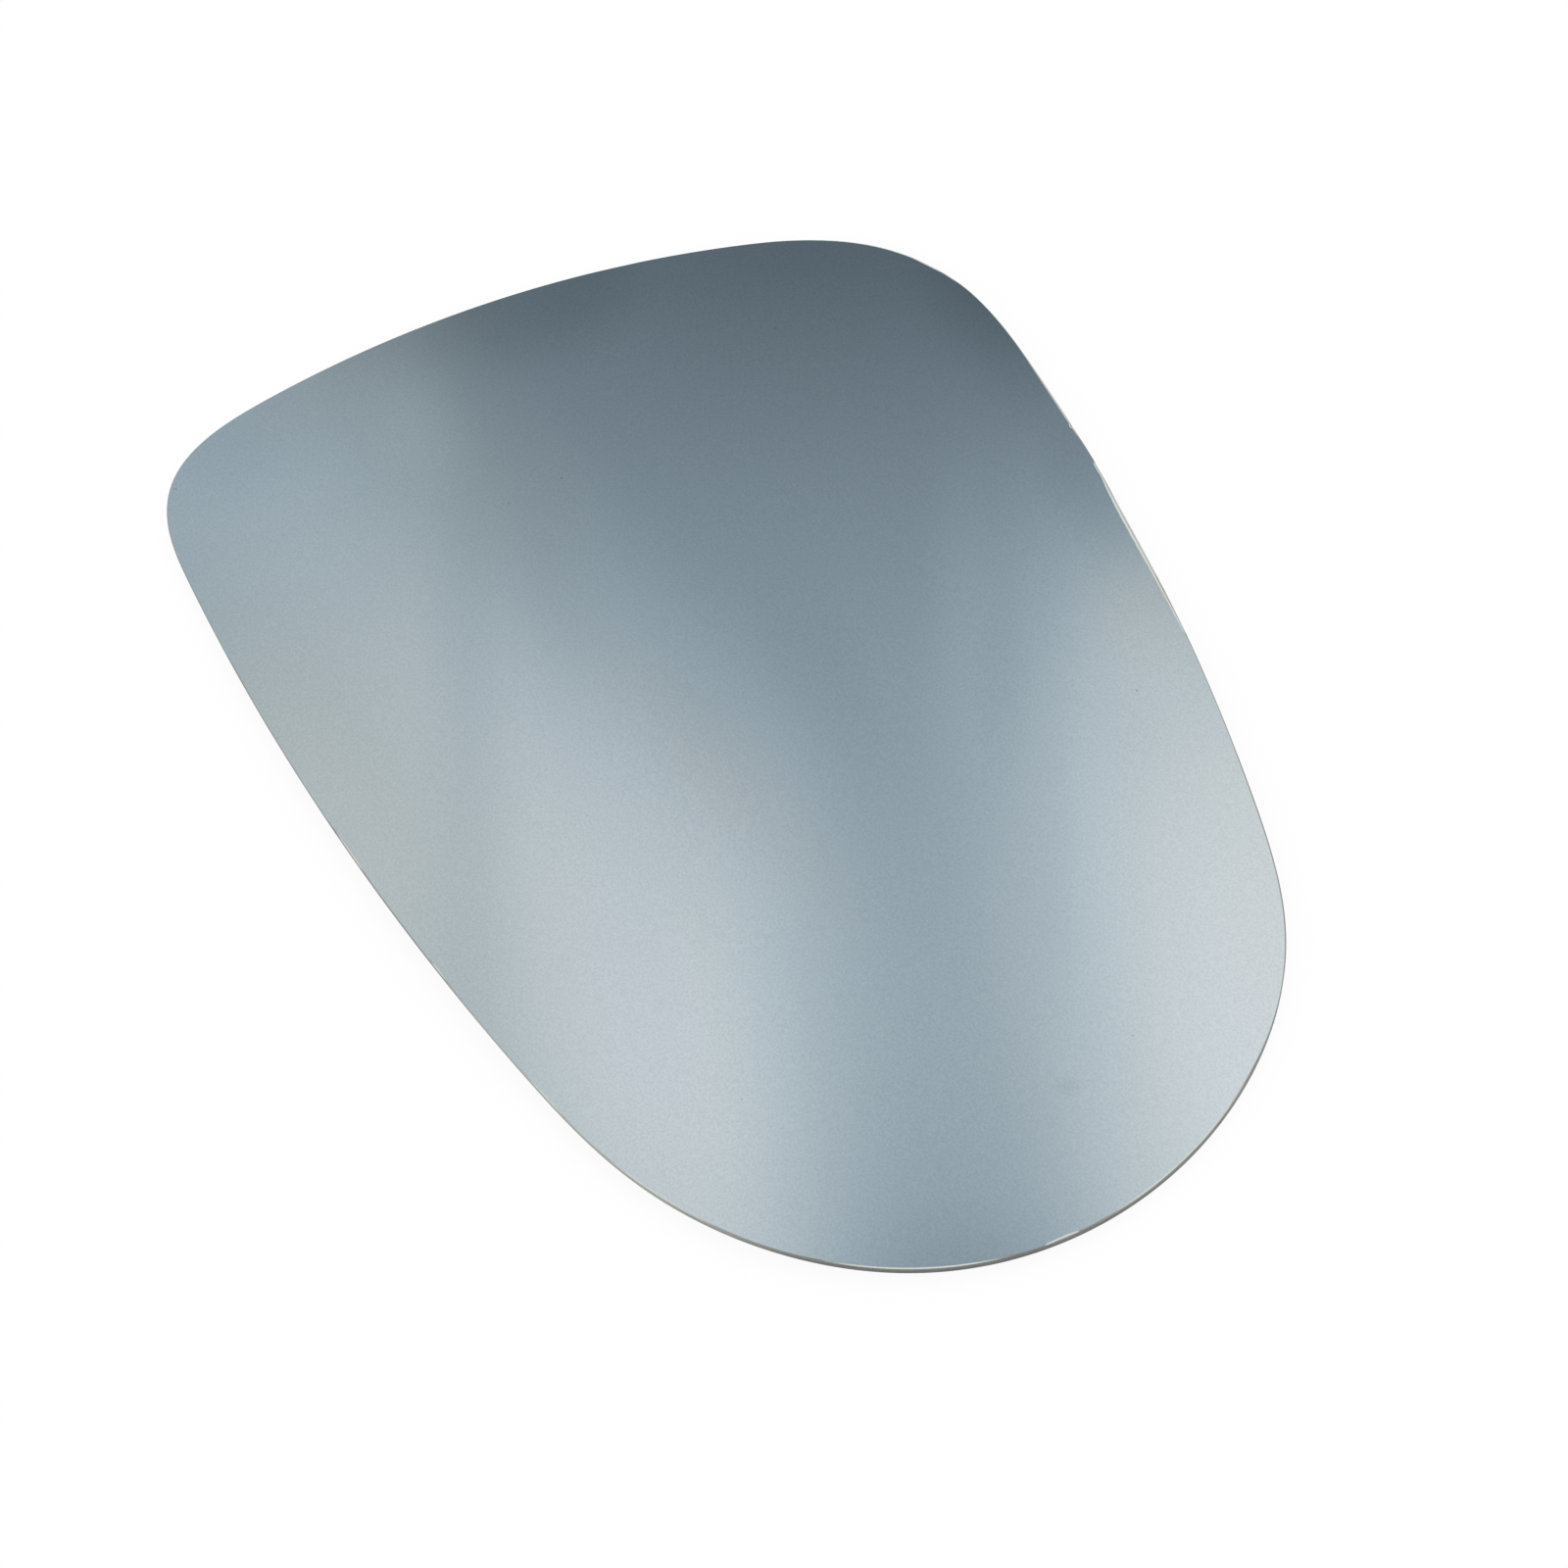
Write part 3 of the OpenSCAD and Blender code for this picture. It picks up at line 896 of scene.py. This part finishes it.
world = bpy.data.worlds.new("white_room")
bpy.context.scene.world = world
world.use_nodes = True
room = world.node_tree
room.nodes.clear()
soft = add(room, "ShaderNodeBackground", {"Color": srgb("#ffffff"), "Strength": ROOM_LIGHT})
white = add(room, "ShaderNodeBackground", {"Color": srgb("#ffffff"), "Strength": 1.0})
mixed = add(room, "ShaderNodeMixShader", {0: seen_rays(room), 1: soft, 2: white})
add(room, "ShaderNodeOutputWorld", {"Surface": mixed})
print("room light", ROOM_LIGHT)

# %% [markdown]
# ## Lamps
#
# Two soft lamps, one overhead and one at the side, model the ground edge. The face must not
# show them, since it would show their square shape, so they are left out of reflections.

# %% Lamps
def soft_lamp(name, place, size, watts):
    """A square lamp that looks at the glass and isn't seen in it."""
    data = bpy.data.lights.new(name, "AREA")
    data.shape = "SQUARE"
    data.size = size
    data.energy = watts
    lamp = bpy.data.objects.new(name, data)
    lamp.location = place
    lamp.rotation_euler = Vector(place).to_track_quat("Z", "Y").to_euler()
    lamp.visible_glossy = False
    bpy.context.scene.collection.objects.link(lamp)
    print(name, "gives", watts, "W from", place)


soft_lamp("overhead_lamp", (-0.3, 0.5, 1.6), size=1.2, watts=9.0)
soft_lamp("side_lamp", (0.9, -0.9, 1.1), size=0.8, watts=4.0)

# %% [markdown]
# ## Camera
#
# The camera that fits the outline in the photo looks down at 62 degrees from the round end and
# is rolled by 15 degrees. The lens of 85 mm is a usual one for such a picture. The distance puts
# 7.4 of the photo's pixels on a millimetre of glass.

# %% Camera
PHOTO_PIXELS = 1600
LENS, SENSOR = 85.0, 36.0  # mm
PIXELS_PER_MM = 7.4
AZIMUTH, ELEVATION, ROLL = (math.radians(angle) for angle in (76.5, 62.0, 15.0))
AIM_DROP = 3.0  # mm, how far under the crown the camera aims
AIM = Vector((10.03, -0.71, RIM_DROP - AIM_DROP)) * MM

back = Vector((math.sin(AZIMUTH) * math.cos(ELEVATION), -math.cos(AZIMUTH) * math.cos(ELEVATION),
               math.sin(ELEVATION)))
level = Vector((math.cos(AZIMUTH), math.sin(AZIMUTH), 0.0))
rise = back.cross(level)
across = math.cos(ROLL) * level - math.sin(ROLL) * rise
upwards = math.sin(ROLL) * level + math.cos(ROLL) * rise
distance = LENS / SENSOR * PHOTO_PIXELS / PIXELS_PER_MM * MM

camera_data = bpy.data.cameras.new("photo_camera")
camera_data.lens = LENS
camera_data.sensor_width = SENSOR
camera_data.clip_start = 0.01
camera = bpy.data.objects.new("photo_camera", camera_data)
turn = Matrix((across, upwards, back)).transposed()
camera.matrix_world = Matrix.Translation(AIM + back * distance) @ turn.to_4x4()
bpy.context.scene.collection.objects.link(camera)
bpy.context.scene.camera = camera
bpy.context.scene.view_settings.view_transform = "Standard"
print("camera", round(distance / MM), "mm away")
